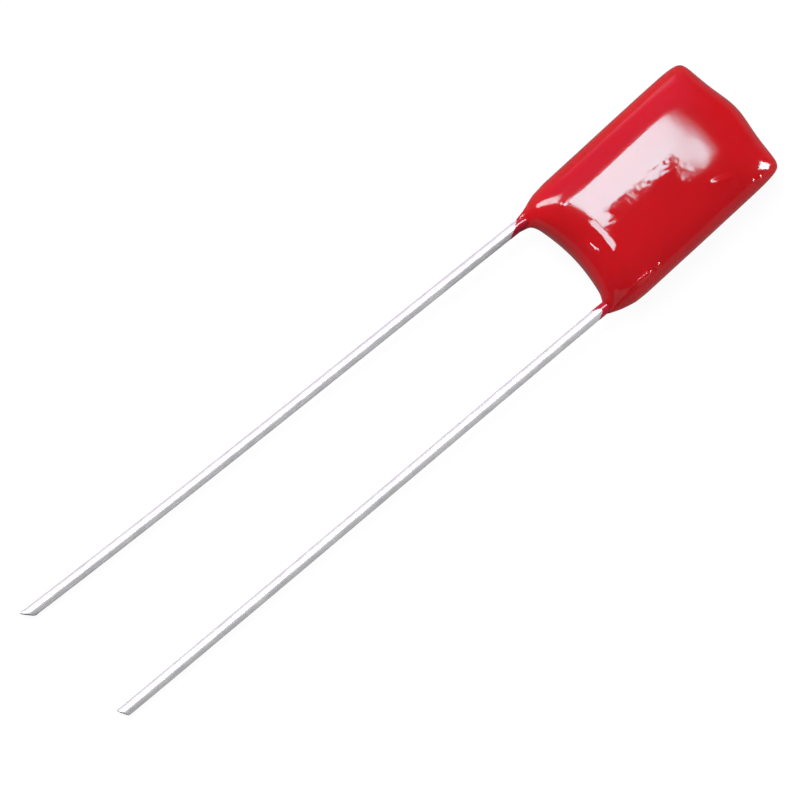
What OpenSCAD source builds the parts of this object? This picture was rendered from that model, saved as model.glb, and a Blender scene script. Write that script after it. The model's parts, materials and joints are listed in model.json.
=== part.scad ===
// A small radial film capacitor: a flattened roll of two polyester webs and two
// aluminium foils, a tinned wire on each foil, and a dipped epoxy coat over all of it.
// Units are millimetres. +X runs across the two leads, +Y from the leads to the closed
// end of the body, +Z up from the face it lies on. The origin is midway between the
// leads where the coat stops, on the body's mid-plane.

/* [Leads] */
// spacing of the two lead axes where they leave the coat
pitch = 5; // [5:0.1:15]
// diameter of the tinned wire
wire_d = 0.5; // [0.4:0.05:0.8]
// length of bare wire outside the coat
free_len = 26.35; // [5:0.5:40]
// how far each lead turns outward, degrees
splay = 0.93; // [0:0.1:5]
// how far both leads turn together toward -X, degrees
veer = 3.77; // [-5:0.1:5]
// slant of the shear cut at the tip, degrees from square
tip_cut = 25; // [0:5:40]
// thickness of the flattened end of the wire
blade_t = 0.17; // [0.12:0.01:0.3]
// half width of the flattened end, in sides of the roll's rounded ends
blade_sides = 2; // [1:1:3]
// length of the flattened end inside the roll
blade_len = 5.6; // [3:0.1:12]
// length over which the round wire widens into the flattened end
neck_len = 0.8; // [0.5:0.05:3]

/* [Roll] */
// thickness of one drawn polyester web
film_t = 0.05; // [0.03:0.01:0.15]
// thickness of one drawn aluminium foil
foil_t = 0.03; // [0.02:0.005:0.08]
// clearance between one web and the next
web_gap = 0.005; // [0.002:0.001:0.02]
// width of the polyester webs, along the roll
film_w = 7.4; // [4:0.1:20]
// width of the aluminium foils, along the roll
foil_w = 6.4; // [3:0.1:19]
// turns of bare film inside the first foil turn
core_turns = 0.5; // [0.25:0.25:2]
// turns of foil
foil_turns = 4.5; // [2.5:0.5:6.5]
// turns of bare film outside the last foil turn
wrap_turns = 0.9; // [0.5:0.1:3]
// half thickness of the empty slit left by the winding mandrel
core_half = 0.06; // [0.02:0.01:0.4]

/* [Coat] */
// thickness of the coat on the two broad faces
coat_face = 0.31; // [0.2:0.01:1]
// thickness of the coat on the two narrow sides
coat_side = 0.38; // [0.25:0.01:1]
// thickness of the coat over the lead end of the roll
coat_lead = 0.92; // [0.8:0.01:2]
// thickness of the coat over the far end of the roll
coat_far = 0.97; // [0.8:0.01:2]
// share of the broad faces' fall that is spread evenly from the middle
crown = 0.2; // [0:0.05:0.6]
// rise of the soft hump in the middle of the far end
hump = 0.27; // [0:0.01:0.6]
// half width of that hump
hump_w = 1.3; // [0.8:0.1:2]
// how far the far corners stand out
horn = 0.14; // [0:0.01:0.3]
// length of the run-down on each lead past the edge between them
run_down = 0.85; // [0.4:0.05:3]
// how much shorter the right run-down is than the left one
uneven = 0.35; // [0:0.01:0.5]
// bow of the edge between the leads
arch = 0.45; // [0:0.01:1]
// narrowing of the shoulders toward the leads
shoulder = 0.24; // [0:0.02:0.6]
// thickness of the coat on the wire where it stops
meniscus_t = 0.05; // [0.02:0.01:0.2]
// growth of the run-down's radius from the wire to the body
flare = 0.24; // [0.1:0.01:1]
// length over which the run-down widens
flare_len = 1.4; // [0.5:0.01:3]
// fillet between the run-downs and the body
blend = 0.5; // [0.1:0.05:1]
// clearance between the roll and the coat around it
seat = 0.03; // [0.01:0.01:0.1]

/* [Hidden] */

e = 0.01;
wire_r = wire_d / 2;
// the wire inside the coat is drawn a hair thinner, so the two lengths join inside one wall
neck_r = wire_r - e;

// radial build of one turn: film, left foil, film, right foil
web_step = film_t + foil_t + 2 * web_gap;
turn_t = 2 * web_step;
off_film_a = 0;
off_foil_l = film_t + web_gap;
off_film_b = web_step;
off_foil_r = web_step + film_t + web_gap;

// turns are counted from the middle; a turn runs top flat, right end, bottom flat, left end
sides = 16;
snap_t = 4 * sides;
function snap(t) = round(t * snap_t) / snap_t;
t_foil0 = snap(core_turns);
t_foil1 = snap(core_turns + foil_turns);
t_end = snap(core_turns + foil_turns + wrap_turns);
u_right = 0.375;
u_left = 0.875;
t_left = floor(t_foil1 - u_left) + u_left;
t_right = t_left - 0.5;
bulge = blade_t + web_gap;
// half length of the slit, so that both flattened ends lie on the lead axes
slit = pitch / 2 - blade_t / 2 - core_half - turn_t * (t_right + 1);

// how far a layer is lifted over a flattened wire, by its place on the rounded end
lift_flat = (blade_sides + 1) * 180 / sides;
lift_ramp = 3 * 180 / sides;
function ease(s) = s <= 0 ? 0 : s >= 1 ? 1 : s * s * (3 - 2 * s);
function lift(u, u0) = 1 - ease((abs(u - u0) * 720 - lift_flat) / lift_ramp);

// point of the roll's section at t turns, at distance d from the slit
function spot(t, d) =
    let(u = t - floor(t))
    u < 0.25 ? [-slit + 8 * slit * u, d]
    : u < 0.5 ? [slit + d * cos(90 - 720 * (u - 0.25)), d * sin(90 - 720 * (u - 0.25))]
    : u < 0.75 ? [slit - 8 * slit * (u - 0.5), -d]
    : [-slit + d * cos(-90 - 720 * (u - 0.75)), d * sin(-90 - 720 * (u - 0.75))];

// distance from the slit of a layer that starts at off in each turn
// after_l: the number of turns past which it lies outside the left flattened wire
function reach(t, off, after_l) =
    let(u = t - floor(t))
    core_half + turn_t * t + off
    + (t > t_right + 0.5 ? bulge * lift(u, u_right) : 0)
    + (t > after_l ? bulge * lift(u, u_left) : 0);

function marks(t0, t1) = [for (k = [round(t0 * snap_t) : round(t1 * snap_t)])
    let(t = k / snap_t, u = t - floor(t))
    if (k == round(t0 * snap_t) || k == round(t1 * snap_t) || u >= 0.75 || u == 0
        || (u >= 0.25 && u <= 0.5)) t];

// one wound layer as a single strip, from t0 turns to t1 turns
module web(t0, t1, off, thick, after_l, wide) {
    m = marks(t0, t1);
    n = len(m);
    inner = [for (t = m) spot(t, reach(t, off, after_l))];
    outer = [for (i = [n - 1 : -1 : 0]) spot(m[i], reach(m[i], off, after_l) + thick)];
    translate([0, y_roll + (film_w + wide) / 2, 0]) rotate([90, 0, 0])
        linear_extrude(wide) polygon(concat(inner, outer));
}

// ---- coat ----
edge_round = 0.12;
side_pow = 4;
end_pow = 6.9;
reach_end = core_half + turn_t * t_end + off_film_b + film_t;
half_w = slit + reach_end + bulge + seat + coat_side;
half_t = reach_end + seat + coat_face;
y_lead = run_down;
y_roll = run_down + coat_lead;
y_far = y_roll + film_w + coat_far;
shoulder_len = 0.28 * pitch;
shoulder_y = y_lead + shoulder_len;
// the run-down ends in a soft lip; its first part lies inside the wire
tip_round = 0.3;
tip_in = tip_round * (1 - sqrt(1 - pow(wire_r / (wire_r + meniscus_t), 2))) - 2 * e;
function side_root(w = 1, n = 12) =
    n == 0 ? sqrt(w) : side_root(pow((1 - edge_round - crown * w) / (1 - crown), 2 / side_pow), n - 1);
wide_a = half_w / side_root();
end_scale = pow(1 - edge_round, 1 / end_pow);

function smax(a, b) = let(h = max(blend - abs(a - b), 0) / blend) max(a, b) + h * h * blend / 4;

function far_edge(x) = y_far + hump * exp(-pow(x / hump_w, 2)) + horn * pow(abs(x / wide_a), 8);
function lead_edge(x) = y_lead - arch * pow(2 * x / pitch, 2);

// square of the body's half thickness at (x, y): a pillow with soft edges
function body_q(x, y) =
    let(s = max(0, min(1.5, (shoulder_y - y) / shoulder_len)),
        r = abs(x / (wide_a - shoulder * s * s)),
        a = 1 - crown * r * r - (1 - crown) * pow(r, side_pow),
        f = far_edge(x), l = lead_edge(x),
        v = end_scale * (2 * y - f - l) / (f - l),
        b = 1 - pow(abs(v), end_pow),
        ab = (a < 0 && b < 0) ? -a * b : a * b)
    half_t * half_t * (ab - edge_round) / (1 - edge_round);

// the same for the run-down on one lead, s = -1 or +1
function sleeve_q(x, y, s) =
    let(t = y + tip_in - (s > 0 ? uneven : 0),
        g = max(0, min(1, t / flare_len)),
        w = 1 - max(0, min(1, 1 - t / tip_round)),
        r = (wire_r + meniscus_t + flare * g * g) * sqrt(1 - (1 - w) * (1 - w)),
        d = x - s * pitch / 2)
    t < 0 ? -0.5 + t : r * r - d * d - 1.5 * pow(max(0, t - flare_len), 2);

function coat_q(x, y) = smax(smax(body_q(x, y), sleeve_q(x, y, -1)), sleeve_q(x, y, 1));

// half width of the coat's outline at y, on the side s
y_mid = (y_lead + y_far) / 2;
function side_end(y, s, out, in, n = 24) =
    let(m = (out + in) / 2)
    n == 0 ? in : coat_q(s * m, y) > 0 ? side_end(y, s, out, m, n - 1) : side_end(y, s, m, in, n - 1);
function widths(s) = [for (k = [0 : 40])
    let(y0 = (s > 0 ? uneven : 0) + 0.06, y = y0 + (shoulder_y + 0.4 - y0) * k / 40)
    [y, side_end(y, s, half_w + 0.2, pitch / 2)]];
widths_l = widths(-1);
widths_r = widths(1);

// the coat is drawn in columns that run along Y and gather with the shoulders:
// c is a column's place, -1 on the left outline and +1 on the right one
function col_x(c, y) = c * lookup(y, c < 0 ? widths_l : widths_r);
function col_end(c, out, in, n = 30) =
    let(m = (out + in) / 2)
    n == 0 ? in : coat_q(col_x(c, m), m) > 0 ? col_end(c, out, m, n - 1) : col_end(c, m, in, n - 1);

c_near = 0.62;
cols_half = concat(
    [for (k = [0 : 8]) c_near * k / 9],
    [for (k = [0 : 19]) c_near + (1 - c_near) * (k < 10 ? 0.5 * k / 10 : 0.5 + 0.5 * sin(9 * (k - 10)))]);
last = len(cols_half) - 1;
cols = concat([for (k = [last : -1 : 1]) -cols_half[k]], cols_half);
rows = 35;

module coat_skin() {
    nc = len(cols);
    nr = 2 * rows;
    ends = [for (c = cols) [col_end(c, -1, y_mid), col_end(c, y_far + 1.5, y_mid)]];
    function row_y(i, j) = (ends[i][0] + ends[i][1]) / 2
        - (ends[i][1] - ends[i][0]) / 2 * cos(180 * j / rows);
    rings = [for (i = [0 : nc - 1]) for (k = [0 : nr - 1])
        let(j = k <= rows ? k : nr - k, y = row_y(i, j), x = col_x(cols[i], y),
            z = (j == 0 || j == rows) ? 0 : sqrt(max(1e-8, coat_q(x, y))))
        [x, y, k <= rows ? z : -z]];
    // the outline itself, a ridge that closes the two narrow sides
    ridges = [for (i = [0, nc - 1]) for (j = [1 : rows - 1])
        let(y = row_y(i, j)) [col_x(sign(cols[i]), y), y, 0]];
    // index of ridge point j on side i; its two ends lie on the last column
    function rim(i, j) = j == 0 || j == rows ? i * nr + j : nc * nr + (i > 0 ? rows - 1 : 0) + j - 1;
    function strip(i, flip) = [for (k = [0 : nr - 1])
        let(n = (k + 1) % nr, j = k <= rows ? k : nr - k, m = n <= rows ? n : nr - n,
            a = i * nr + k, b = i * nr + n, c = rim(i, m), d = rim(i, j))
        for (f = concat(b == c ? [] : [[a, b, c]], a == d ? [] : [[a, c, d]]))
            flip ? [f[2], f[1], f[0]] : f];
    faces = concat(
        [for (i = [0 : nc - 2]) for (k = [0 : nr - 1]) [i * nr + k, i * nr + (k + 1) % nr, (i + 1) * nr + k]],
        [for (i = [0 : nc - 2]) for (k = [0 : nr - 1])
            [i * nr + (k + 1) % nr, (i + 1) * nr + (k + 1) % nr, (i + 1) * nr + k]],
        strip(0, true), strip(nc - 1, false));
    polyhedron(concat(rings, ridges), faces, convexity = 6);
}

function stadium(d, w) = concat(
    [for (k = [0 : sides]) let(f = 90 - 180 * k / sides, r = d + w * lift(0.25 + k / snap_t, u_right))
        [slit + r * cos(f), r * sin(f)]],
    [for (k = [0 : sides]) let(f = -90 - 180 * k / sides, r = d + w * lift(0.75 + k / snap_t, u_left))
        [-slit + r * cos(f), r * sin(f)]]);

module epoxy_coat() {
    color([0.72, 0.03, 0.05]) difference() {
        coat_skin();
        translate([0, y_roll + film_w + seat, 0]) rotate([90, 0, 0])
            linear_extrude(film_w + 2 * seat) polygon(stadium(reach_end + seat, bulge));
        for (s = [-1, 1]) {
            translate([s * pitch / 2, -1, 0]) rotate([-90, 0, 0])
                cylinder(h = 1 + y_neck + e, r = wire_r, $fn = 48);
            hull() {
                translate([s * pitch / 2, y_neck - 3 * e, 0]) rotate([-90, 0, 0])
                    cylinder(h = e, r = wire_r - 2 * e, $fn = 24);
                blade(s, y_roll - e, 3 * e, seat);
            }
        }
    }
}

// ---- leads ----
y_neck = y_roll - neck_len;
half_u = blade_sides / snap_t;
droop = asin((half_t - wire_r) / free_len);

// section of the flattened wire, grown by g, laid on the foil it is welded to
module blade(s, y, h, g) {
    t0 = s > 0 ? t_right : t_left;
    off = s > 0 ? turn_t : web_step;
    n = blade_sides;
    function at(k, d) = spot(t0 + k / snap_t, core_half + turn_t * (t0 + k / snap_t) + off + d);
    w = g / (pitch / 2 - slit) * 180 / PI / 720 * snap_t;
    inner = [for (k = [-n : n]) at(abs(k) == n ? k + sign(k) * w : k, -g)];
    outer = [for (k = [n : -1 : -n]) at(abs(k) == n ? k + sign(k) * w : k, blade_t + g)];
    translate([0, y + h, 0]) rotate([90, 0, 0]) linear_extrude(h) polygon(concat(inner, outer));
}

module lead(s) {
    color([0.78, 0.79, 0.8]) union() {
        translate([s * pitch / 2, 0, 0]) rotate([90 + droop, 0, -(veer - s * splay)]) difference() {
            cylinder(h = free_len + 1, r = wire_r, $fn = 48);
            translate([0, 0, free_len]) rotate([0, tip_cut, 0]) translate([-2, -2, 0]) cube([4, 4, 4]);
        }
        translate([s * pitch / 2, -8 * e, 0]) rotate([-90, 0, 0])
            cylinder(h = y_neck + 8 * e, r = neck_r, $fn = 48);
        hull() {
            translate([s * pitch / 2, y_neck - 5 * e, 0]) rotate([-90, 0, 0])
                cylinder(h = e, r = neck_r - 3 * e, $fn = 24);
            blade(s, y_roll - 3 * e, 2 * e, e);
        }
        blade(s, y_roll - 2 * e, blade_len + 2 * e, 0);
    }
}

module film_inner() {
    color([0.85, 0.86, 0.8, 0.5]) web(0, t_end, off_film_a, film_t, t_left + 0.5, film_w);
}
module film_outer() {
    color([0.85, 0.86, 0.8, 0.5]) web(0, t_end, off_film_b, film_t, t_left - 0.5, film_w);
}
module foil_left() {
    color([0.8, 0.8, 0.82]) web(t_foil0, t_foil1, off_foil_l, foil_t, t_left + 0.5, foil_w);
}
module foil_right() {
    color([0.8, 0.8, 0.82]) web(t_foil0, t_foil1, off_foil_r, foil_t, t_left - 0.5, foil_w);
}
module lead_left() { lead(-1); }
module lead_right() { lead(1); }

epoxy_coat();
film_inner();
film_outer();
foil_left();
foil_right();
lead_left();
lead_right();
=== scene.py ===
# %% [markdown]
# # A dipped film capacitor
# The part is a flat roll of film and foil with two tinned wires, dipped in red epoxy.
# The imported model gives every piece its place, and this file gives the pieces their
# looks. The coat and the wires are made again as smooth surfaces, because they are what
# shows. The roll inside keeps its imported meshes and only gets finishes.
# All lengths below are in millimetres until a mesh is made, which is then in metres.

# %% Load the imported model
import json
import math

import bpy
import numpy as np
from mathutils import Matrix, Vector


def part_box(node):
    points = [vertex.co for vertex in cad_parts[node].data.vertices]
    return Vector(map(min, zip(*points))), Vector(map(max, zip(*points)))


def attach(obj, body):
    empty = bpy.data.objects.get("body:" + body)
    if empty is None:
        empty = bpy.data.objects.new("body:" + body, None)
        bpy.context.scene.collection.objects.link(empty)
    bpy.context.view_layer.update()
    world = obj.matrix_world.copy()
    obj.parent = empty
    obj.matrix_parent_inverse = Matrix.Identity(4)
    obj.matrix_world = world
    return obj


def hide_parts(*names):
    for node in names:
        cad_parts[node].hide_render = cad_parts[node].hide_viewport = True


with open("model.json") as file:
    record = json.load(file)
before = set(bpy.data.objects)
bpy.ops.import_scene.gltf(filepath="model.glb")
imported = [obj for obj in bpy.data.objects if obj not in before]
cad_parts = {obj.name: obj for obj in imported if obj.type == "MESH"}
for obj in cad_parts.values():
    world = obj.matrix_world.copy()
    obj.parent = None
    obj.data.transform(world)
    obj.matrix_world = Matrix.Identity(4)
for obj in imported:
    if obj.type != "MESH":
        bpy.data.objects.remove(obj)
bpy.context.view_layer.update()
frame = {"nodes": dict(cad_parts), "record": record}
MM = 0.001


# %% [markdown]
# ## Sizes
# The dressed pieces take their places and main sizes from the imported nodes, so they
# follow them. The coat's box gives its half width and its half thickness. The pins in the
# record give where each lead leaves the coat, which way it runs and how long it is.
# A side is -1 for the left lead and 1 for the right one throughout.

# %% Read the sizes
LEADS = {-1: "lead_left", 1: "lead_right"}


def node_box(name):
    """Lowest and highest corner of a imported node, in millimetres."""
    lo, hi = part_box(name)
    return np.array(lo) / MM, np.array(hi) / MM


coat_lo, coat_hi = node_box("epoxy_coat")
ROLL_Y = float(node_box("film_outer")[0][1])
pins = {m["name"]: m for m in frame["record"]["mounts"] if m["kind"] == "pin"}
PINS = {}
for side, name in LEADS.items():
    pin = pins[name + "_pin"]
    PINS[side] = (np.array(pin["pos_m"]) / MM, np.array(pin["axis"]), float(pin["dims"]["length_mm"]))
PITCH = float(PINS[1][0][0] - PINS[-1][0][0])
WIRE_R = float(pins["lead_right_pin"]["dims"]["r_mm"])
HALF_W = float(coat_hi[0])
HALF_T = float(coat_hi[2])
print(f"pitch {PITCH:.2f}, wire radius {WIRE_R:.2f} mm")
print(f"coat half width {HALF_W:.2f}, half thickness {HALF_T:.2f} mm")


# %% [markdown]
# ## The pillow
# A dipped coat is a pillow: two crowned faces that meet in soft edges, with slightly
# raised far corners, a soft hump on the far end and a concave edge between the leads.
# It could be modelled from a box and smoothed. Here it is one formula for the square of
# the half thickness above each point (x, y) of the mid-plane, because the square has no
# vertical walls, so it blends and draws smoothly.

# %% Pillow formula
Y_LEAD, Y_FAR, ARCH = 0.85, 10.14, 0.45
HUMP, HUMP_W, HORN, HORN_POW = 0.27, 1.3, 0.14, 8
SHOULDER, SHOULDER_Y, SHOULDER_LEN, SHOULDER_MOST = 0.24, 2.25, 1.4, 1.5
CROWN, EDGE_ROUND, SIDE_POW, END_POW = 0.2, 0.12, 4.0, 6.9

# WIDE is the width in the formula at which its edge falls on the coat's half width. The
# square of their ratio is put back into the formula until it settles, in twelve rounds.
edge = 1.0
for _ in range(12):
    edge = ((1 - EDGE_ROUND - CROWN * edge) / (1 - CROWN)) ** (2 / SIDE_POW)
WIDE = HALF_W / math.sqrt(edge)
print(f"the formula's width is {WIDE:.3f} mm")


def body_square(x, y):
    """Square of the pillow's half thickness.

    One minus a mix of a square and a fourth power across, times one minus a higher
    power along, less a small share that rounds the corners of the outline.
    """
    pinch = np.clip((SHOULDER_Y - y) / SHOULDER_LEN, 0, SHOULDER_MOST)
    ratio = np.abs(x / (WIDE - SHOULDER * pinch**2))
    across = 1 - CROWN * ratio**2 - (1 - CROWN) * ratio**SIDE_POW
    far = Y_FAR + HUMP * np.exp(-((x / HUMP_W) ** 2)) + HORN * np.abs(x / WIDE) ** HORN_POW
    near = Y_LEAD - ARCH * (2 * x / PITCH) ** 2
    run = (1 - EDGE_ROUND) ** (1 / END_POW) * (2 * y - far - near) / (far - near)
    along = 1 - np.abs(run) ** END_POW
    both = np.where((across < 0) & (along < 0), -across * along, across * along)
    return HALF_T**2 * (both - EDGE_ROUND) / (1 - EDGE_ROUND)


# %% [markdown]
# ## The run-downs
# As the part is drawn out of the bath, a little epoxy runs down each lead and sets in a
# short sleeve that flares into the body. It could be a turned shape joined to the pillow,
# but a join shows in a gloss skin. So each sleeve is a square of a half thickness too,
# and the larger of the two squares is taken, with a fillet where they are close.

# %% Run-down formula
BLEND = 0.5
MENISCUS, FLARE, FLARE_LEN, FADE, UNEVEN = 0.05, 0.24, 1.4, 1.5, 0.35
TIP_ROUND, TIP_SINK, LIP_SLANT, LIP_THIN, THIN_LEN = 0.3, 0.02, 0.5, 0.3, 0.7
# The value just past a lip, where there is no coat.
OUTSIDE = -0.5
# The lip of a run-down starts inside the wire and shows from TIP_IN on.
TIP_IN = TIP_ROUND * (1 - math.sqrt(1 - (WIRE_R / (WIRE_R + MENISCUS)) ** 2)) - TIP_SINK
print(f"the lip starts {TIP_IN:.3f} mm before the coat's stop")


def soft_max(a, b, width=BLEND):
    """The larger of a and b, with a round fillet where they are within width."""
    near = np.maximum(width - np.abs(a - b), 0) / width
    return np.maximum(a, b) + near * near * width / 4


def sleeve_square(x, y, side):
    """Square of the half thickness of the run-down on one lead: a flared round sleeve.

    Its lip thins toward the wire and lies on a slant, lower on the +X side. The right
    sleeve is shorter than the left one.
    """
    off = x - side * PITCH / 2
    t = y + TIP_IN + LIP_SLANT * np.clip(off, -WIRE_R, WIRE_R) - (UNEVEN if side > 0 else 0)
    grown = np.clip(t / FLARE_LEN, 0, 1)
    lip = np.clip(1 - t / TIP_ROUND, 0, 1)
    film = MENISCUS * (LIP_THIN + (1 - LIP_THIN) * np.clip(t / THIN_LEN, 0, 1))
    radius = (WIRE_R + film + FLARE * grown**2) * np.sqrt(1 - lip**2)
    fade = FADE * np.clip(t - FLARE_LEN, 0, None) ** 2
    return np.where(t < 0, OUTSIDE + t, radius**2 - off**2 - fade)


def coat_square(x, y):
    """The pillow and both run-downs, blended."""
    return soft_max(soft_max(body_square(x, y), sleeve_square(x, y, -1)), sleeve_square(x, y, 1))


def coat_field(p):
    """Positive inside the coat: the square above (x, y) less the square of z."""
    return coat_square(p[:, 0], p[:, 1]) - p[:, 2] ** 2


# %% [markdown]
# ## A net over the form
# A grid of columns would crowd its points on the flat faces and stretch them round the
# edges, and a gloss coat shows that at once. So the form is wrapped in a surface net: a
# lattice of small cells is laid over it, every cell that the surface crosses gets one
# point, and the points of neighbouring cells are joined by four-sided faces.

# %% Surface net
CORNERS = [(i, j, k) for i in (0, 1) for j in (0, 1) for k in (0, 1)]


def surface_net(field, lo, hi, cell):
    """Points and quads of the surface where field is zero, one point in each crossed cell.

    A cell is crossed where some but not all of its eight corners are inside. A quad
    stands across each lattice edge whose ends differ, and joins the four cells round it.
    """
    axes = [np.arange(a, b + cell, cell) for a, b in zip(lo, hi)]
    grid = np.stack(np.meshgrid(*axes, indexing="ij"), -1)
    nx, ny, nz = grid.shape[:3]
    inside = (field(grid.reshape(-1, 3)) > 0).reshape(nx, ny, nz)
    count = sum(
        inside[i : nx - 1 + i, j : ny - 1 + j, k : nz - 1 + k].astype(np.int8) for i, j, k in CORNERS
    )
    crossed = (count > 0) & (count < len(CORNERS))
    number = -np.ones(crossed.shape, dtype=np.int64)
    number[crossed] = np.arange(crossed.sum())
    points = grid[:-1, :-1, :-1][crossed] + cell / 2
    quads = []
    for axis in range(3):
        a = np.moveaxis(inside, axis, 0)
        n = np.moveaxis(number, axis, 0)
        change = a[:-1, 1:-1, 1:-1] != a[1:, 1:-1, 1:-1]
        i, j, k = np.nonzero(change)
        four = np.stack([n[i, j, k], n[i, j + 1, k], n[i, j + 1, k + 1], n[i, j, k + 1]], 1)
        turn = a[:-1, 1:-1, 1:-1][change]
        if axis == 1:
            turn = ~turn
        four[~turn] = four[~turn][:, ::-1]
        quads.append(four)
    return points, np.concatenate(quads)


# %% [markdown]
# ## From the net to a mesh
# The points of the net start in the middles of their cells, which would leave the skin
# in steps. So each is slid along the field's slope until the field is zero there, which
# puts it on the form. The slope also gives the way out of the coat at each point.

# %% Slope and settling
SLIDE_MOST = 0.6


def slope(field, p, step=0.004):
    """Gradient of a field at the points p, by central differences."""
    shifts = np.eye(3) * step
    return np.stack([(field(p + s) - field(p - s)) / (2 * step) for s in shifts], axis=1)


def settle(field, p, cell, rounds=8):
    """Slides points along the slope of the field until they lie where it is zero.

    A step is the field's value over its slope, and never more than a share of a cell.
    """
    for _ in range(rounds):
        g = slope(field, p)
        step = field(p)[:, None] * g / np.maximum((g * g).sum(1), 1e-9)[:, None]
        length = np.linalg.norm(step, axis=1)[:, None]
        p = p - step * np.minimum(1, SLIDE_MOST * cell / np.maximum(length, 1e-12))
    return p


CELL, MARGIN = 0.06, 0.25
net, quads = surface_net(coat_field, coat_lo - MARGIN, coat_hi + MARGIN, CELL)
net = settle(coat_field, net, CELL)
print(f"net of {len(net)} points, at most {np.abs(coat_field(net)).max():.1e} off the form")


# %% [markdown]
# ## Unevenness
# Dipped epoxy is never quite true. It gathers toward the middle of each broad face, where
# the coat is thickest. It also lies in slow swells a few millimetres long, and its skin
# has a fine orange peel, coarser where the epoxy drained last. An image of bumps would
# do on a flat face but tears at the edges. So both are sums of many sine waves with
# random directions but one wavelength, which gives a smooth lumpy field with no repeats.

# %% Lumpy fields
def ease(t):
    """Smooth step from 0 to 1: three times the square less twice the cube."""
    t = np.clip(t, 0, 1)
    return t * t * (3 - 2 * t)


def lumps(p, high, wavelength, seed, waves):
    """Sum of sine waves of one wavelength with random directions, about high up and down."""
    rng = np.random.default_rng(seed)
    way = rng.normal(size=(waves, 3))
    way *= (2 * np.pi / wavelength) / np.linalg.norm(way, axis=1)[:, None]
    start = rng.uniform(0, 2 * np.pi, waves)
    return high * np.sin(p @ way.T + start).sum(1) / math.sqrt(waves)


out = -slope(coat_field, net)
out /= np.linalg.norm(out, axis=1)[:, None]
x, y = net[:, 0], net[:, 1]
SAG, SAG_Y = 0.005, 5.5
sag = -SAG * out[:, 2] ** 2 * (x**2 + (y - SAG_Y) ** 2)
# The run-downs stay calm, and the peel is coarser toward the right and the leads.
CALM_Y, CALM_LEN = 0.4, 1.2
DRAIN_X, DRAIN_X_LEN, DRAIN_Y, DRAIN_Y_LEN = -1.3, 1.0, 9.0, 2.5
calm = ease((y - CALM_Y) / CALM_LEN)
drained = ease((x - DRAIN_X) / DRAIN_X_LEN) * ease((DRAIN_Y - y) / DRAIN_Y_LEN)
# Height, wavelength, seed and number of waves of the two swells and the two grains of peel.
LONG_SWELL, SHORT_SWELL = (0.0022, 3.4, 3, 40), (0.0008, 1.3, 5, 40)
SMOOTH_PEEL, COARSE_PEEL = (0.0002, 0.45, 7, 60), (0.00028, 0.24, 11, 60)
swell = lumps(net, *LONG_SWELL) + lumps(net, *SHORT_SWELL)
peel = lumps(net, *SMOOTH_PEEL) + drained * lumps(net, *COARSE_PEEL)
print(f"sag {-sag.min():.3f}, swell {np.abs(swell).max():.4f}, peel {np.abs(peel).max():.4f} mm at most")


# %% [markdown]
# ## Runs and nibs
# A few short runs and nibs stand up from the skin, where epoxy set as it drained or dust
# fell into it. Each catches one small glint. They are soft ridges added along the way
# out of the coat, so they belong to the one skin and are not stuck on it.

# %% Runs and nibs
# Place, half length, half width, height and turn of each run or nib.
NIBS = (
    (2.00, 7.52, 0.50, 0.14, 0.068, 72.0),
    (0.38, 1.52, 0.38, 0.12, 0.056, 2.0),
    (-1.82, 1.90, 0.08, 0.08, 0.030, 0.0),
    (2.77, 2.30, 0.42, 0.11, 0.112, 88.0),
    (2.79, 3.10, 0.09, 0.09, 0.080, 90.0),
    (2.90, 8.55, 0.08, 0.08, 0.050, 90.0),
    (2.98, 8.93, 0.08, 0.08, 0.050, 90.0),
)


def nib(p, x, y, long, wide, high, turn):
    """A soft ridge on the upper face, centred over (x, y) and turned from +X by turn degrees.

    It falls off as a bell curve of the fourth power along and of the square across.
    """
    centre = np.array([x, y, math.sqrt(coat_square(np.array([x]), np.array([y]))[0])])
    way = np.array([math.cos(math.radians(turn)), math.sin(math.radians(turn)), 0.0])
    gap = p - centre
    u = gap @ way
    v2 = (gap * gap).sum(1) - u * u
    return high * np.exp(-((u / long) ** 4) - v2 / wide**2)


nibs = sum(nib(net, *row) for row in NIBS)
print(f"{len(NIBS)} runs and nibs, up to {nibs.max():.3f} mm high")


# %% [markdown]
# ## The coat's skin
# A lead is never quite straight where it leaves the bath, so each run-down leans a little
# with the wire in it. The lean starts in the shoulder and is full at the lip. The skin is
# also drawn in by a hair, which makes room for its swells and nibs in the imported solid's
# box. Each of its points gets one number that says how hazy the gloss is there.

# %% Mesh helpers
def mesh_object(name, points, faces, smooth=True):
    """A new object from points in millimetres and a list or array of faces."""
    mesh = bpy.data.meshes.new(name)
    faces = faces.tolist() if isinstance(faces, np.ndarray) else faces
    mesh.from_pydata((np.asarray(points) * MM).tolist(), [], faces)
    mesh.validate()
    mesh.polygons.foreach_set("use_smooth", np.full(len(mesh.polygons), smooth))
    mesh.update()
    made = bpy.data.objects.new(name, mesh)
    bpy.context.scene.collection.objects.link(made)
    print(f"{name}: {len(mesh.vertices)} points, {len(mesh.polygons)} faces")
    return made


def point_values(piece, label, values):
    """Stores one number for each point of a piece, for its material to read."""
    piece.data.attributes.new(label, "FLOAT", "POINT").data.foreach_set("value", values)


# %% Coat skin
# How far toward -X each run-down has leaned at its lip, and where along the part it starts.
LEAN, LEAN_TOP, LEAN_LEN = {-1: 0.13, 1: 0.05}, 0.9, 1.0
SKIN_IN = 0.012
# The haze lies left of HAZE_X and beyond HAZE_Y, and fades over the lengths beside them.
HAZE_X, HAZE_X_LEN, HAZE_Y, HAZE_Y_LEN = -1.2, 0.9, 7.6, 1.4


def lean(y, side):
    """How far toward -X the run-down on one side, and the wire in it, has moved at y."""
    return LEAN[side] * ease((LEAN_TOP - y) / LEAN_LEN)


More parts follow.
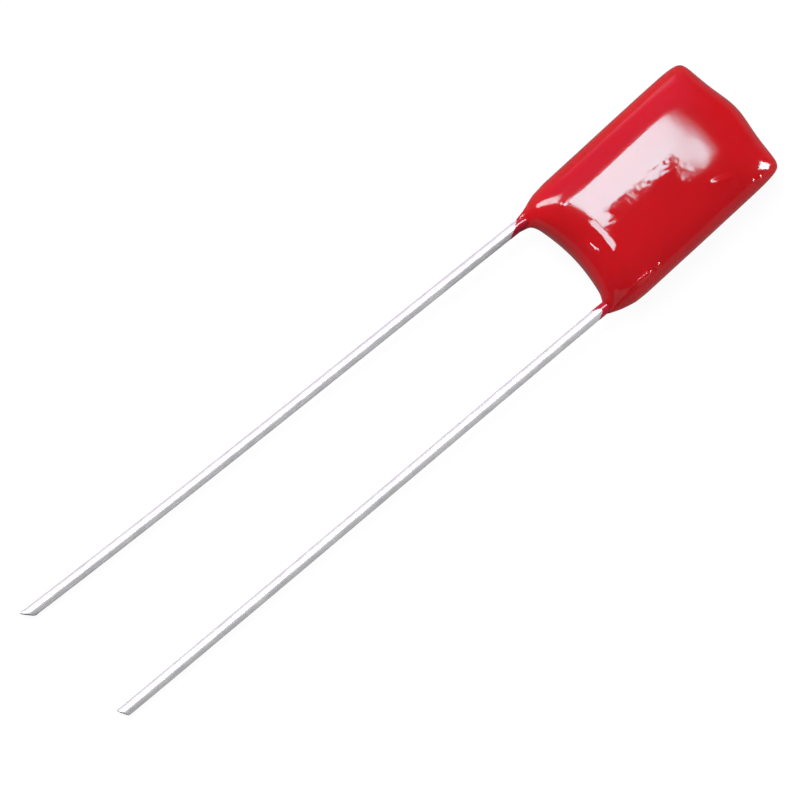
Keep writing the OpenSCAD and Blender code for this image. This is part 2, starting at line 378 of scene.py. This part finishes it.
net = net + out * (sag + calm * (swell + peel) + nibs - SKIN_IN)[:, None]
net[:, 0] -= sum(lean(net[:, 1], side) * ease(side * net[:, 0]) for side in LEADS)
net[:, 2] = np.clip(net[:, 2], coat_lo[2], coat_hi[2])
coat = mesh_object("coat_skin", net, quads)
haze = 1 - ease((net[:, 0] - HAZE_X) / HAZE_X_LEN) * ease((HAZE_Y - net[:, 1]) / HAZE_Y_LEN)
point_values(coat, "haze", haze)


# %% [markdown]
# ## The leads' paths
# A lead is drawn copper-clad wire with a bright tin skin. It leaves the coat with the lean
# of its run-down, has a slight set from handling, and ends where a shear cut it on a
# slant. Inside the coat it lies on its axis and ends in a thin blade that is welded to its
# foil. A curve object with a bevel could follow such a path, but it can't flatten into a
# blade. So the path is an array of points, and a section is carried along it.

# %% Lead path
# Slant of each shear cut, in degrees from square, and what its wire is longer by.
CUT = {-1: (45.0, 0.13), 1: (30.0, -0.05)}
# Set of each wire toward -X: the three terms of a cubic in the share of its length.
SET = {-1: (-0.19, -0.24, 0.35), 1: (0.02, -0.18, 0.18)}
NECK_LEN = 0.8
NECK_Y = ROLL_Y - NECK_LEN
# Places of the rings: shares of the length at the cut, then along the wire, near the
# coat, and inside it down to the neck, along the neck and along the blade.
TIP_SHARES = np.array([0, 0.0006, 0.0016, 0.003, 0.005])
LAST_SHARE, EXIT_FAR, EXIT_NEAR, INSIDE_Y = 0.99, 1.6, 0.05, 0.06
WIRE_RINGS, EXIT_RINGS, INNER_RINGS, NECK_RINGS, BLADE_RINGS = 108, 46, 12, 10, 14


def level_across(way):
    """Unit vector level across a lead that runs along way, toward -X."""
    across = np.cross(way, [0, 0, 1.0])
    return across / np.linalg.norm(across)


def lead_path(side):
    """Middle line of one lead, from the cut tip to the end of the blade.

    The free length is a straight line, plus the lean at the coat and a cubic for the
    wire's set. Inside the coat the line leans back to the lead's axis and follows it.
    """
    start, way, long = PINS[side]
    long = long + CUT[side][1]
    free = np.concatenate([
        long * (1 - TIP_SHARES),
        np.linspace(LAST_SHARE * long, EXIT_FAR, WIRE_RINGS),
        np.linspace(EXIT_FAR - EXIT_NEAR, EXIT_NEAR, EXIT_RINGS),
    ])
    bow = lean(start[1] + free * way[1], side)
    bow = bow + sum(c * (free / long) ** (k + 1) for k, c in enumerate(SET[side]))
    path_free = start + free[:, None] * way + bow[:, None] * level_across(way)
    blade_end = float(node_box(LEADS[side])[1][1])
    deep = np.concatenate([
        np.linspace(INSIDE_Y, NECK_Y, INNER_RINGS),
        np.linspace(NECK_Y, ROLL_Y, NECK_RINGS)[1:],
        np.linspace(ROLL_Y, blade_end, BLADE_RINGS)[1:],
    ])
    path_deep = np.stack([start[0] - lean(deep, side), deep, np.zeros_like(deep)], 1)
    return np.concatenate([path_free, path_deep])


for side in LEADS:
    path = lead_path(side)
    print(LEADS[side], f"{len(path)} rings from y {path[0][1]:.2f} to {path[-1][1]:.2f} mm")


# %% [markdown]
# ## The leads' section
# The section is a circle that flattens into a rounded blade as it nears the roll, and
# curls a little with it. Near the tip it shrinks, which rounds the edge of the cut, and
# slides along the wire, which puts the cut on its slant. Below the coat's lip a last thin
# film of epoxy clings to the wire and ends on a crooked line, so the section swells there.

# %% Lead rings
SIDES = 40
BLADE_T, BLADE_W, BLADE_CURL, BLADE_SQUARE, BLADE_START = 0.17, 0.88, 0.075, 0.5, 0.03
TIP_SIZES = np.array([0.90, 0.965, 0.99, 1.0])
TIP_SLIPS = np.array([1.0, 0.95, 0.9, 0.8, 0.6])
FILM_T, FILM_EDGE, FILM_ENDS = 0.010, 0.10, 0.01
# How far below the coat's stop the film reaches: a square curve over the place across the wire.
FILM_REACH = {-1: (0.11, 1.44, 1.60), 1: (-0.15, -0.20, 6.40)}


def unit(rows):
    """Each row divided by its length."""
    return rows / np.linalg.norm(rows, axis=-1)[..., None]


def lead_rings(side, path):
    """Rings of one lead round its path, and how much of the film each point carries.

    Each ring is an ellipse square to the path. Its half sizes go from the wire's
    radius to half the blade's thickness and width along the neck. The film is one where
    a point lies less far from the coat than the film's reach, and it falls to zero over
    a short edge.
    """
    way = PINS[side][1]
    run = unit(np.gradient(path, axis=0))
    side_way = unit(np.cross(run, [0, 0, 1.0]))
    up_way = np.cross(side_way, run)
    share = ease((path[:, 1] - NECK_Y) / (NECK_LEN - BLADE_START))
    thick = WIRE_R * (1 - share) + (BLADE_T / 2) * share
    wide = WIRE_R * (1 - share) + (BLADE_W / 2) * share
    thick[: len(TIP_SIZES)] *= TIP_SIZES
    wide[: len(TIP_SIZES)] *= TIP_SIZES
    turn = np.linspace(0, 2 * np.pi, SIDES, endpoint=False)
    power = (1 - BLADE_SQUARE * share)[:, None]
    u = np.sign(np.cos(turn)) * np.abs(np.cos(turn)) ** power
    v = np.sign(np.sin(turn)) * np.abs(np.sin(turn)) ** power
    curl = -side * BLADE_CURL * share[:, None] * (v * v)
    rings = path[:, None, :] + side_way[:, None, :] * (u * thick[:, None] + curl)[..., None]
    rings = rings + up_way[:, None, :] * (v * wide[:, None])[..., None]

    tips = len(TIP_SLIPS)
    tilt = math.tan(math.radians(CUT[side][0]))
    slip = tilt * (rings[:tips] - path[:tips, None, :]) @ level_across(way)
    rings[:tips] += (slip * TIP_SLIPS[:, None])[..., None] * way

    off = u * thick[:, None]
    reach = sum(c * off**k for k, c in enumerate(FILM_REACH[side]))
    film = ease((reach + path[:, 1:2]) / FILM_EDGE)
    lift = FILM_T * film * (share[:, None] < FILM_ENDS)
    return rings + unit(rings - path[:, None, :]) * lift[..., None], film


# %% [markdown]
# ## From rings to wires
# Quads join each ring to the next. Each end is closed with smaller rings inside the last
# one and a point in the middle, so that the wire is a closed solid and its cut face is
# slightly domed. Each point also gets two numbers for its finish: how deep it lies in
# the cut face, and how much film it carries.

# %% Closed tube
CAP_RINGS, CUT_DOME, DOME_RING = 4, 0.012, 4


def cap(ring, dome):
    """Points of an end: smaller and smaller rings, raised as a bowl, and its middle."""
    middle = ring.mean(0)
    shares = np.linspace(1, 0, CAP_RINGS + 1)[1:-1]
    rows = [middle + (ring - middle) * s + dome * (1 - s * s) for s in shares]
    return np.concatenate(rows + [[middle + dome]])


def cap_faces(outer, base, sides):
    """Faces of an end between the ring at outer and the points from base on."""
    ring = np.arange(sides)
    rims = [outer + ring] + [base + r * sides + ring for r in range(CAP_RINGS - 1)]
    faces = []
    for a, b in zip(rims[:-1], rims[1:]):
        faces += np.stack([a, b, np.roll(b, -1), np.roll(a, -1)], 1).tolist()
    middle = np.full(sides, base + (CAP_RINGS - 1) * sides)
    return faces + np.stack([rims[-1], middle, np.roll(rims[-1], -1)], 1).tolist()


def tube(path, rings):
    """Points and faces of a closed tube from its rings, domed at the first one."""
    n, m = rings.shape[:2]
    tip_way = unit(path[0] - path[DOME_RING])
    first = cap(rings[0], tip_way * CUT_DOME)
    last = cap(rings[-1], np.zeros(3))
    points = np.concatenate([rings.reshape(-1, 3), first, last])
    i, j = np.meshgrid(np.arange(n - 1), np.arange(m), indexing="ij")
    k = (j + 1) % m
    walls = np.stack([i * m + j, i * m + k, (i + 1) * m + k, (i + 1) * m + j], -1).reshape(-1, 4)
    last_faces = cap_faces((n - 1) * m, n * m + len(first), m)
    return points, walls.tolist() + cap_faces(0, n * m, m) + [face[::-1] for face in last_faces]


# %% Lead meshes
# How deep each point of the cut face lies: 0 at its edge and 1 in its middle.
cut_depth = np.append(np.repeat(np.arange(1, CAP_RINGS) / CAP_RINGS, SIDES), 1.0)
leads = {}
for side, name in LEADS.items():
    path = lead_path(side)
    rings, film = lead_rings(side, path)
    points, faces = tube(path, rings)
    leads[side] = mesh_object(name + "_wire", points, faces)
    cut = np.zeros(len(points))
    cut[film.size : film.size + len(cut_depth)] = cut_depth
    point_values(leads[side], "cut", cut)
    point_values(leads[side], "film", np.append(film.reshape(-1), np.zeros(len(points) - film.size)))


# %% [markdown]
# ## Helpers for materials
# A material is a net of nodes whose sockets are wired together. These helpers make a
# node with its values, feed a socket from another socket or a plain value, and mix or
# remap values, so that each finish below reads as a short recipe.

# %% Node helpers
def add(tree, kind, **values):
    """A node with some of its settings and input values set."""
    node = tree.nodes.new(kind)
    for key, value in values.items():
        if key in node.inputs:
            node.inputs[key].default_value = value
        else:
            setattr(node, key, value)
    return node


def wire(tree, *pairs):
    """Links pairs of sockets."""
    for a, b in pairs:
        tree.links.new(a, b)


def feed(tree, value, socket):
    """Links a value that is a socket to another one, and sets a plain value on it."""
    if isinstance(value, bpy.types.NodeSocket):
        wire(tree, (value, socket))
    else:
        socket.default_value = value


print("helpers:", *(made.__name__ for made in (add, wire, feed)))


# %% Mixing helpers
# The sockets of a Mix node that take the first and the second value, and its output.
MIX_SOCKETS = {"RGBA": (6, 7, 2), "FLOAT": (2, 3, 0)}


def mixed(tree, kind, share, first, second, **values):
    """The mix of first and second, of kind RGBA or FLOAT, each a socket or a plain value."""
    node = add(tree, "ShaderNodeMix", data_type=kind, **values)
    a, b, result = MIX_SOCKETS[kind]
    for value, place in ((share, 0), (first, a), (second, b)):
        feed(tree, value, node.inputs[place])
    return node.outputs[result]


def times_plus(tree, value, times, plus):
    """A value times a plain number, plus another value."""
    node = add(tree, "ShaderNodeMath", operation="MULTIPLY_ADD")
    for given, place in ((value, 0), (times, 1), (plus, 2)):
        feed(tree, given, node.inputs[place])
    return node.outputs[0]


def remapped(tree, value, span, onto=(0.0, 1.0), **values):
    """A value carried from the range span onto another range, and held at its ends."""
    node = add(tree, "ShaderNodeMapRange", **values)
    for label, number in zip(("From Min", "From Max", "To Min", "To Max"), (*span, *onto)):
        feed(tree, number, node.inputs[label])
    feed(tree, value, node.inputs["Value"])
    return node.outputs["Result"]


def toned(tree, value, span, dark, light):
    """A colour that goes from dark to light as the value goes through the range span."""
    node = add(tree, "ShaderNodeValToRGB")
    for stop, place, colour in zip(node.color_ramp.elements, span, (dark, light)):
        stop.position, stop.color = place, (*colour, 1)
    wire(tree, (value, node.inputs["Fac"]))
    return node.outputs["Color"]


def attribute(tree, label):
    """The number that a mesh stores for each point under this name."""
    return add(tree, "ShaderNodeAttribute", attribute_name=label).outputs["Fac"]


print("helpers:", *(made.__name__ for made in (mixed, times_plus, remapped, toned, attribute)))


# %% [markdown]
# ## Shared effects
# Two effects serve several finishes, so each is a node group with its own sockets.
# One makes gloss uneven, as hands and handling leave it. The other is a fine relief
# drawn out along Y, for skins that were dipped, rolled or drawn in that direction.

# %% Node groups
F, V = "NodeSocketFloat", "NodeSocketVector"
CLOUD_SPAN = (0.35, 0.68)


def new_group(name, ins, out):
    """An empty node group with named inputs and one float output, and its two ends."""
    group = bpy.data.node_groups.new(name, "ShaderNodeTree")
    for label, kind, value in ins:
        made = group.interface.new_socket(label, in_out="INPUT", socket_type=kind)
        if value is not None:
            made.default_value = value
    group.interface.new_socket(out, in_out="OUTPUT", socket_type=F)
    ends = group.nodes.new("NodeGroupInput").outputs, group.nodes.new("NodeGroupOutput").inputs
    return group, *ends


gloss_ins = ("Vector", V, None), ("Scale", F, 400.0), ("Low", F, 0.1), ("High", F, 0.2)
gloss_group, given, result = new_group("uneven_gloss", gloss_ins, "Roughness")
cloud = add(gloss_group, "ShaderNodeTexNoise", Detail=4.0, Roughness=0.6)
wire(gloss_group, (given["Vector"], cloud.inputs["Vector"]), (given["Scale"], cloud.inputs["Scale"]))
gloss = remapped(gloss_group, cloud.outputs["Fac"], CLOUD_SPAN, (given["Low"], given["High"]))
wire(gloss_group, (gloss, result["Roughness"]))

relief_ins = ("Vector", V, None), ("Scale", F, 5000.0), ("Stretch", V, (1.0, 1.0, 1.0))
relief_group, given, result = new_group("drawn_relief", relief_ins, "Height")
stretch = add(relief_group, "ShaderNodeVectorMath", operation="MULTIPLY")
grain = add(relief_group, "ShaderNodeTexNoise", Detail=3.0, Roughness=0.55)
wire(relief_group,
     (given["Vector"], stretch.inputs[0]),
     (given["Stretch"], stretch.inputs[1]),
     (stretch.outputs["Vector"], grain.inputs["Vector"]),
     (given["Scale"], grain.inputs["Scale"]),
     (grain.outputs["Fac"], result["Height"]))
print("node groups", [group.name for group in (gloss_group, relief_group)])


# %% [markdown]
# ## What every finish shares
# Each finish is one Principled BSDF. Its noise follows Object coordinates, so it sits
# in the material as grain sits in wood, and needs no unwrapping. Gloss, relief and colour
# are each fed by one call, with the values of that material.

# %% Finish helpers
TONE_SPAN, TONE_DETAIL = (0.35, 0.65), 4.0


def finish(name, **shader):
    """A material with a Principled BSDF, and its Object coordinates."""
    made = bpy.data.materials.new(name)
    made.use_nodes = True
    tree = made.node_tree
    bsdf = tree.nodes["Principled BSDF"]
    for key, value in shader.items():
        bsdf.inputs[key.replace("_", " ")].default_value = value
    return made, tree, bsdf, add(tree, "ShaderNodeTexCoord").outputs["Object"]


def uneven_gloss(tree, place, scale, low, high):
    """Roughness between low and high, in clouds of the shared group."""
    node = add(tree, "ShaderNodeGroup", node_tree=gloss_group)
    for label, value in (("Vector", place), ("Scale", scale), ("Low", low), ("High", high)):
        feed(tree, value, node.inputs[label])
    return node.outputs["Roughness"]


def use_relief(tree, bsdf, place, scale, stretch, deep):
    """Feeds the shader's normal from the shared relief, through a bump of depth deep in metres."""
    node = add(tree, "ShaderNodeGroup", node_tree=relief_group)
    for label, value in (("Vector", place), ("Scale", scale), ("Stretch", stretch)):
        feed(tree, value, node.inputs[label])
    bump = add(tree, "ShaderNodeBump", Strength=1.0, Distance=deep)
    wire(tree,
         (node.outputs["Height"], bump.inputs["Height"]),
         (bump.outputs["Normal"], bsdf.inputs["Normal"]))


def two_tones(tree, place, scale, dark, light):
    """Two tones of one colour, mixed by a soft noise."""
    noise = add(tree, "ShaderNodeTexNoise", Scale=scale, Detail=TONE_DETAIL)
    wire(tree, (place, noise.inputs["Vector"]))
    return toned(tree, noise.outputs["Fac"], TONE_SPAN, dark, light)


print("helpers:", *(made.__name__ for made in (finish, uneven_gloss, use_relief, two_tones)))


# %% [markdown]
# ## Red epoxy
# The coat is pigmented epoxy with a clear gloss skin. Light goes a little way into it and
# comes out red, so subsurface scattering softens its shadows. Its colour hardly varies,
# and its orange peel shows where the edge of a reflection turns ragged. Its reflections
# have a cool tint, which is a constant of the shader. A faint haze dulls the gloss where
# the skin is thin, toward the left and the far end, and follows the numbers stored above.

# %% Coat finish
HAZE_DULL = 0.075
epoxy, tree, bsdf, place = finish(
    "red_epoxy", IOR=1.5, Specular_IOR_Level=0.6, Specular_Tint=(0.46, 0.97, 1.0, 1.0),
    Subsurface_Weight=0.9, Subsurface_Scale=0.001, Subsurface_Radius=(2.0, 0.2, 0.15))
red = two_tones(tree, place, scale=350.0, dark=(0.425, 0.0052, 0.0090), light=(0.460, 0.0060, 0.0102))
gloss = uneven_gloss(tree, place, scale=900.0, low=0.025, high=0.055)
dulled = times_plus(tree, attribute(tree, "haze"), HAZE_DULL, gloss)
wire(tree, (red, bsdf.inputs["Base Color"]), (dulled, bsdf.inputs["Roughness"]))
use_relief(tree, bsdf, place, scale=3200.0, stretch=(1.0, 1.0, 1.0), deep=0.0000010)
coat.data.materials.append(epoxy)
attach(coat, "root")
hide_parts("epoxy_coat")
print(f"{epoxy.name}: {len(tree.nodes)} nodes")


# %% [markdown]
# ## Tinned wire
# The tin is bright but soft, so it carries fine lines from drawing and a few dull
# patches. The cut end shows what is under it: a thin ring of copper round a steel core.
# Where the film of epoxy covers it, the wire turns from metal to glossy red. Three
# materials on one wire would meet in hard edges between faces, so it is one material
# that mixes by the two numbers stored for each point.

# %% Lead finish
COPPER, STEEL = (0.62, 0.26, 0.13), (0.34, 0.34, 0.35)
THIN_FILM, FULL_FILM = (0.34, 0.035, 0.10), (0.36, 0.0070, 0.0200)
METAL_SHARE, FILM_GLOSS = 0.58, 0.16
# Depths in the cut face over which the tin skin ends, and copper gives way to steel.
SKIN_ENDS, COPPER_ENDS = (0.03, 0.05), (0.16, 0.22)
# Amounts of film over which its colour fills out, and over which it covers the metal.
FILM_FILLS, FILM_COVERS = (0.3, 0.95), (0.0, 0.4)

tinned, tree, bsdf, place = finish("tinned_wire")
tin = two_tones(tree, place, scale=1200.0, dark=(0.80, 0.80, 0.81), light=(0.90, 0.90, 0.90))
depth = attribute(tree, "cut")
core = toned(tree, depth, COPPER_ENDS, COPPER, STEEL)
metal_colour = mixed(tree, "RGBA", remapped(tree, depth, SKIN_ENDS), tin, core)
film_at = attribute(tree, "film")
film_colour = toned(tree, film_at, FILM_FILLS, THIN_FILM, FULL_FILM)
covered = remapped(tree, film_at, FILM_COVERS)
gloss = uneven_gloss(tree, place, scale=1500.0, low=0.28, high=0.40)
wire(tree,
     (mixed(tree, "RGBA", covered, metal_colour, film_colour), bsdf.inputs["Base Color"]),
     (remapped(tree, covered, (0.0, 1.0), (METAL_SHARE, 0.0)), bsdf.inputs["Metallic"]),
     (mixed(tree, "FLOAT", covered, gloss, FILM_GLOSS), bsdf.inputs["Roughness"]))
use_relief(tree, bsdf, place, scale=9000.0, stretch=(1.0, 0.05, 1.0), deep=0.0000040)
print(f"{tinned.name}: {len(tree.nodes)} nodes")
for side, name in LEADS.items():
    piece = leads[side]
    piece.data.materials.append(tinned)
    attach(piece, "root")
    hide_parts(name)


# %% [markdown]
# ## Foil and film
# These lie inside the coat, where nothing shows, but the part can be cut open in a
# lesson. The foil is bright aluminium with rolling lines; the film is clear polyester,
# half transparent so that the foil under it shows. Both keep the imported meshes.

# %% Foil and film finishes
foil, tree, bsdf, place = finish("rolled_foil", Metallic=1.0)
tones = two_tones(tree, place, scale=500.0, dark=(0.78, 0.79, 0.80), light=(0.88, 0.89, 0.90))
gloss = uneven_gloss(tree, place, scale=700.0, low=0.18, high=0.30)
wire(tree, (tones, bsdf.inputs["Base Color"]), (gloss, bsdf.inputs["Roughness"]))
use_relief(tree, bsdf, place, scale=12000.0, stretch=(1.0, 0.02, 1.0), deep=0.0000020)

clear, tree, bsdf, place = finish("clear_film", IOR=1.64, Alpha=0.5)
tones = two_tones(tree, place, scale=400.0, dark=(0.80, 0.82, 0.78), light=(0.90, 0.91, 0.89))
gloss = uneven_gloss(tree, place, scale=600.0, low=0.04, high=0.12)
wire(tree, (tones, bsdf.inputs["Base Color"]), (gloss, bsdf.inputs["Roughness"]))
use_relief(tree, bsdf, place, scale=2500.0, stretch=(1.0, 0.3, 1.0), deep=0.0000020)

ROLL = {"foil_left": foil, "foil_right": foil, "film_inner": clear, "film_outer": clear}
for name, made in ROLL.items():
    for slot in frame["nodes"][name].material_slots:
        slot.material = made
    print(f"{name}: {made.name}")


# %% [markdown]
# ## Floor
# The ground is a plain white sheet. A white surface under these lamps would burn out,
# and its shadow would be far too strong. So its own colour is dark, which takes a faint
# shadow, and it glows by the kind of ray that meets it: white to the camera and through
# clear things, dim in reflections, and halfway for the light that it throws back up.

# %% Floor
SHEET_HALF, SHEET_TONE = 1500.0, 0.055
SHEET_SEEN, SHEET_MIRRORED, SHEET_THROWN = 0.945, 0.16, 0.45

corners = [(x * SHEET_HALF, y * SHEET_HALF, -HALF_T) for x, y in ((-1, -1), (1, -1), (1, 1), (-1, 1))]
floor = mesh_object("floor", corners, [(0, 1, 2, 3)], smooth=False)
sheet, tree, bsdf, place = finish(
    "white_sheet", Roughness=0.9, Specular_IOR_Level=0.0,
    Base_Color=(SHEET_TONE, SHEET_TONE, SHEET_TONE, 1), Emission_Color=(1, 1, 1, 1))
rays = add(tree, "ShaderNodeLightPath").outputs
seen = add(tree, "ShaderNodeMath", operation="MAXIMUM")
wire(tree, (rays["Is Camera Ray"], seen.inputs[0]), (rays["Is Transmission Ray"], seen.inputs[1]))
glow = times_plus(tree, seen.outputs[0], SHEET_SEEN, 0.0)
glow = times_plus(tree, rays["Is Glossy Ray"], SHEET_MIRRORED, glow)
glow = times_plus(tree, rays["Is Diffuse Ray"], SHEET_THROWN, glow)
wire(tree, (glow, bsdf.inputs["Emission Strength"]))
floor.data.materials.append(sheet)


# %% [markdown]
# ## World
# The room round the part is dim, and white only where the camera sees it. Two round
# patches on the left stand for pale things in the room: a wide mauve one that the coat's
# rims mirror, and a small nearly white one low down that draws a line along the wires.
# They are in the sky and are not lamps, because a lamp's edge is hard and theirs is soft.

# %% World
DIM = (0.065, 0.065, 0.07, 1)
# Each patch: the way to it, how wide it is full and where it is gone, in degrees, and its colour.
PATCHES = (
    ((-0.89, 0.20, 0.41), 11, 57, (0.33, 0.14, 0.36)),
    ((-0.93, 0.36, 0.03), 4, 17, (0.75, 0.75, 0.80)),
)

world = bpy.data.worlds.new("studio")
bpy.context.scene.world = world
world.use_nodes = True
tree = world.node_tree
looking = add(tree, "ShaderNodeTexCoord").outputs["Generated"]


def sky_patch(tree, sky, towards, full, gone, colour):
    """Adds a round patch to the sky: a smooth step of the cosine of the angle to its middle."""
    towards = np.array(towards) / np.linalg.norm(towards)
    near = add(tree, "ShaderNodeVectorMath", operation="DOT_PRODUCT")
    near.inputs[1].default_value = towards
    wire(tree, (looking, near.inputs[0]))
    span = math.cos(math.radians(gone)), math.cos(math.radians(full))
    share = remapped(tree, near.outputs["Value"], span, interpolation_type="SMOOTHSTEP")
    return mixed(tree, "RGBA", share, sky, (*colour, 1), blend_type="ADD")


sky = DIM
for patch in PATCHES:
    sky = sky_patch(tree, sky, *patch)
by_camera = add(tree, "ShaderNodeLightPath").outputs["Is Camera Ray"]
wire(tree, (mixed(tree, "RGBA", by_camera, sky, (1, 1, 1, 1)), tree.nodes["Background"].inputs["Color"]))
print(f"world: {len(PATCHES)} patches, {len(tree.nodes)} nodes")


# %% [markdown]
# ## Lamps
# One soft box hangs up and to the left, and its reflection is the broad pale patch on
# the coat. It is built of several flat panels side by side, because its outline has a
# step and its edges are dimmer than its middle. A lamp low on the left gives the side its
# sheen, one behind on the right lights the far corner, and a dim panel on the right keeps
# the far side of the wires grey and not black.

# %% Lamp helpers
# How far up a lamp's way may point before X is taken for its level axis.
OVERHEAD = 0.7


def frame_of(x_way, y_way, z_way, place):
    """A matrix from three axes and a place in millimetres."""
    whole = np.eye(4)
    whole[:3] = np.stack([x_way, y_way, z_way, np.array(place) * MM], axis=1)
    return Matrix(whole.tolist())


def panel(name, centre, aim, width, height, radiance, colour=(1, 1, 1), roll=0.0):
    """A rectangular lamp at centre, facing aim; radiance is what a mirror would show.

    Its first axis is level, or along X when it hangs overhead, and is then turned by
    roll degrees about the way it faces.
    """
    lamp = bpy.data.lights.new(name, "AREA")
    lamp.shape = "RECTANGLE"
    lamp.size, lamp.size_y = width * MM, height * MM
    lamp.energy = radiance * math.pi * width * height * MM * MM
    lamp.color = colour
    made = bpy.data.objects.new(name, lamp)
    bpy.context.scene.collection.objects.link(made)
    centre, aim = np.array(centre, float), np.array(aim, float)
    away = (centre - aim) / np.linalg.norm(centre - aim)
    level = np.array([1.0, 0, 0]) if abs(away[2]) > OVERHEAD else np.cross([0, 0, 1.0], away)
    along = level - away * (level @ away)
    along /= np.linalg.norm(along)
    turn = math.radians(roll)
    along = along * math.cos(turn) + np.cross(away, along) * math.sin(turn)
    made.matrix_world = frame_of(along, np.cross(away, along), away, centre)
    print(f"{name}: {width} by {height} mm, radiance {radiance}")


# %% Lamps
BODY = (0, 5.4, 0)
SOFT_COLOUR, SOFT_HEIGHT = (0.97, 0.96, 1.00), 300
# Each panel of the soft box: name, place, width, height and radiance.
SOFT_BOX = (
    ("soft_box", -103.5, 22, 117, 128, 16.0),
    ("soft_box_far", -24.5, 79, 41, 22, 15.5),
    ("soft_box_corner", 4, 77.5, 16, 12, 14.5),
    ("soft_box_step", -39.5, 56, 11, 12, 16.0),
    ("soft_box_side", -39.5, -6, 11, 48, 15.0),
    ("soft_box_near", -25, -54, 40, 40, 13.5),
    ("soft_box_rim", -167.5, 24, 11, 122, 7.0),
    ("soft_box_edge", -80, 90.5, 160, 9, 6.0),
    ("soft_box_haze", -70, 104, 150, 18, 2.0),
    ("soft_box_end", 0, 98, 28, 16, 1.5),
)
for name, x, y, width, height, radiance in SOFT_BOX:
    panel(name, (x, y, SOFT_HEIGHT), BODY, width, height, radiance, SOFT_COLOUR)
panel("left_lamp", (-272, -120, 168), BODY, width=92, height=260, radiance=11.0, roll=21.0)
panel("right_lamp", (232, 235, 48), BODY, width=104, height=150, radiance=20.0)
panel("right_panel", (330, -330, 180), BODY, width=420, height=210, radiance=0.3)


# %% [markdown]
# ## Camera
# A long lens looks almost straight down at the part, turned so that the leads run to
# the lower left. A camera looks along its own minus Z, so its third axis points back.

# %% Camera
TURN, HEIGHT, DIST = math.radians(47.04), math.radians(80.0), 270.0
TARGET = np.array([-0.544, -8.703, 0.0])
VIEW_WIDTH, SENSOR = 33.84381, 36.0

right = np.array([math.cos(TURN), math.sin(TURN), 0.0])
front = np.array([math.sin(TURN), -math.cos(TURN), 0.0])
back = front * math.cos(HEIGHT) + np.array([0.0, 0.0, math.sin(HEIGHT)])
lens = bpy.data.cameras.new("camera")
lens.sensor_width = SENSOR
lens.lens = SENSOR * DIST / VIEW_WIDTH
lens.clip_start, lens.clip_end = 0.01, 10.0
camera = bpy.data.objects.new("camera", lens)
bpy.context.scene.collection.objects.link(camera)
camera.matrix_world = frame_of(right, np.cross(back, right), back, TARGET + back * DIST)
bpy.context.scene.camera = camera
bpy.context.scene.view_settings.view_transform = "Standard"
print(f"camera: {lens.lens:.0f} mm lens, {VIEW_WIDTH:.1f} mm across at the part")


# %% [markdown]
# ## Finish
# The scene is brought up to date.

# %% Finish
bpy.context.view_layer.update()
